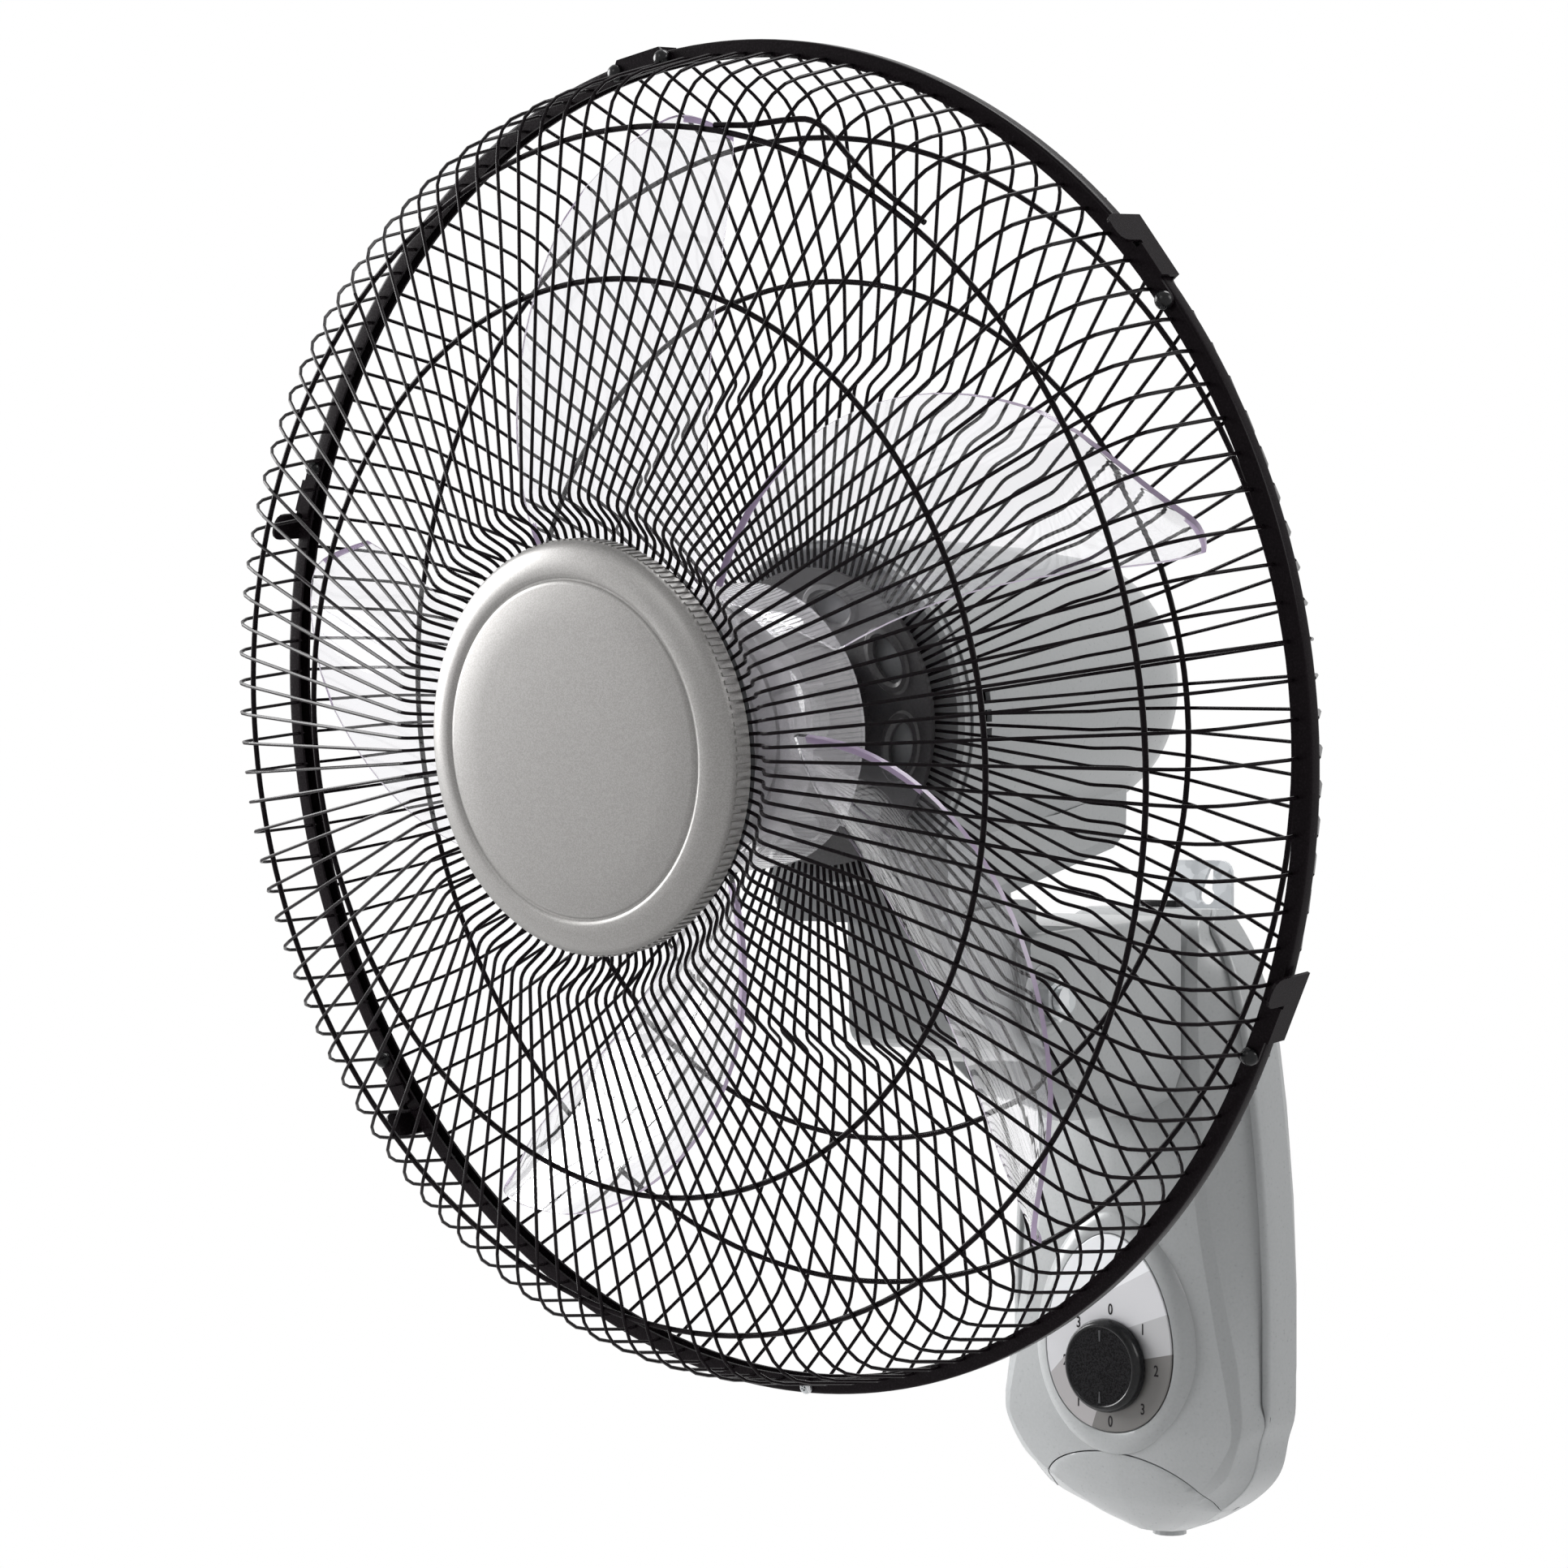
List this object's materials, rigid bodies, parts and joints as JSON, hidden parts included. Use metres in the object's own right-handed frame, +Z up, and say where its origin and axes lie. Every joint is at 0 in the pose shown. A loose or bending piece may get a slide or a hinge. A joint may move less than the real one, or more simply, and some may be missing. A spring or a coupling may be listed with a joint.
{
  "type": "wall mounted fan",
  "caption": "Wall mounted fan with a round wire guard, a clear impeller, an oscillating and tilting head, rim latches and a wall base with a rotary speed knob.",
  "frame": {"origin": "middle of the wall plate's back, on the wall", "axes": "+Z up, the fan faces -Y, +Y points into the wall, +X to the right seen from the front"},
  "size_m": [0.45, 0.355, 0.5312],
  "materials": {
    "grey_plastic": "satin light grey",
    "silver_plastic": "metallic silver-grey",
    "black_wire": "semi-gloss black with a fine sparkle",
    "zinc_steel": "zinc plated",
    "black_plastic": "finely textured black",
    "dark_plastic": "satin dark grey",
    "iron": "stamped laminations",
    "copper": "varnished copper",
    "white_nylon": "natural nylon",
    "rubber": "matt black",
    "clear_blade": "clear, faint violet tint at the edges"
  },
  "bodies": {
    "base": {"wall_plate": "zinc_steel", "base_back_cover": "grey_plastic", "base_front_housing": "grey_plastic", "base_lower_cover": "grey_plastic", "dial_plate": "silver_plastic", "speed_switch": "dark_plastic", "run_capacitor": "dark_plastic", "cord_inlet": "rubber", "base_screw_left": "zinc_steel", "base_screw_right": "zinc_steel", "top_catch": "black_plastic", "tilt_bolt": "zinc_steel", "tilt_nut": "zinc_steel", "tilt_washer_left": "zinc_steel", "tilt_washer_right": "zinc_steel"},
    "knob": {"speed_knob": "black_plastic", "switch_shaft": "zinc_steel"},
    "neck": {"neck_housing": "grey_plastic", "oscillation_pin": "zinc_steel", "pivot_arm": "zinc_steel"},
    "head": {"motor_front_housing": "grey_plastic", "motor_rear_housing": "grey_plastic", "motor_lower_cover": "grey_plastic", "stator_core": "iron", "stator_winding_front": "copper", "stator_winding_rear": "copper", "front_bearing": "zinc_steel", "rear_bearing": "zinc_steel", "gearbox_case": "white_nylon", "rear_guard": "black_wire", "rear_ring_inner": "black_wire", "rear_ring_outer": "black_wire", "guard_plate": "black_wire", "guard_lock_nut": "dark_plastic", "rim_band": "black_wire", "front_guard": "black_wire", "front_ring_inner": "black_wire", "front_ring_outer": "black_wire", "badge": "silver_plastic", "badge_backing": "dark_plastic", "rim_screw": "zinc_steel", "guard_clip": "black_wire", "clip_rivet_left": "black_wire", "clip_rivet_right": "black_wire", "latch_rivet_1": "black_wire", "latch_rivet_2": "black_wire", "latch_rivet_3": "black_wire", "latch_rivet_4": "black_wire"},
    "rotor": {"rotor_core": "iron", "motor_shaft": "zinc_steel", "drive_pin": "zinc_steel", "impeller": "clear_blade", "spinner_nut": "dark_plastic"},
    "crank": {"worm_gear": "white_nylon"},
    "link": {"oscillation_link": "zinc_steel"},
    "latch_1": {"guard_latch_1": "black_wire"},
    "latch_2": {"guard_latch_2": "black_wire"},
    "latch_3": {"guard_latch_3": "black_wire"},
    "latch_4": {"guard_latch_4": "black_wire"}
  },
  "joints": [
    {"name": "knob_turn", "type": "hinge", "parent": "base", "child": "knob", "pos_m": [0, -0.06, -0.0516], "axis": [0, -1, 0], "continuous": true},
    {"name": "head_tilt", "type": "hinge", "parent": "base", "child": "neck", "pos_m": [0, -0.139, 0.09], "axis": [1, 0, 0], "range_deg": [-15, 20]},
    {"name": "head_oscillation", "type": "hinge", "parent": "neck", "child": "head", "pos_m": [0, -0.15741, 0.13605], "axis": [0, -0.1023, 0.9948], "range_deg": [-40, 40]},
    {"name": "blade_spin", "type": "hinge", "parent": "head", "child": "rotor", "pos_m": [0, -0.268, 0.185], "axis": [0, 0.9948, 0.1023], "continuous": true},
    {"name": "crank_turn", "type": "hinge", "parent": "head", "child": "crank", "pos_m": [-0.0163, -0.11879, 0.20034], "axis": [0, -0.1023, 0.9948], "range_deg": [-92, 92]},
    {"name": "link_turn", "type": "hinge", "parent": "crank", "child": "link", "pos_m": [-0.006, -0.11367, 0.1506], "axis": [0, -0.1023, 0.9948], "range_deg": [-92, 92]},
    {"name": "latch_1_open", "type": "hinge", "parent": "head", "child": "latch_1", "pos_m": [0.18312, -0.28087, 0.3102], "axis": [0, 0.9948, 0.1023], "range_deg": [0, 75]},
    {"name": "latch_2_open", "type": "hinge", "parent": "head", "child": "latch_2", "pos_m": [0.19798, -0.25768, 0.08465], "axis": [0, 0.9948, 0.1023], "range_deg": [0, 75]},
    {"name": "latch_3_open", "type": "hinge", "parent": "head", "child": "latch_3", "pos_m": [-0.18635, -0.25562, 0.06462], "axis": [0, 0.9948, 0.1023], "range_deg": [0, 75]},
    {"name": "latch_4_open", "type": "hinge", "parent": "head", "child": "latch_4", "pos_m": [-0.19971, -0.27796, 0.2819], "axis": [0, 0.9948, 0.1023], "range_deg": [0, 75]}
  ],
  "couplings": [
    {"joint": "crank_turn", "follows": "head_oscillation", "ratio": 2.25},
    {"joint": "link_turn", "follows": "head_oscillation", "ratio": -2.25}
  ]
}
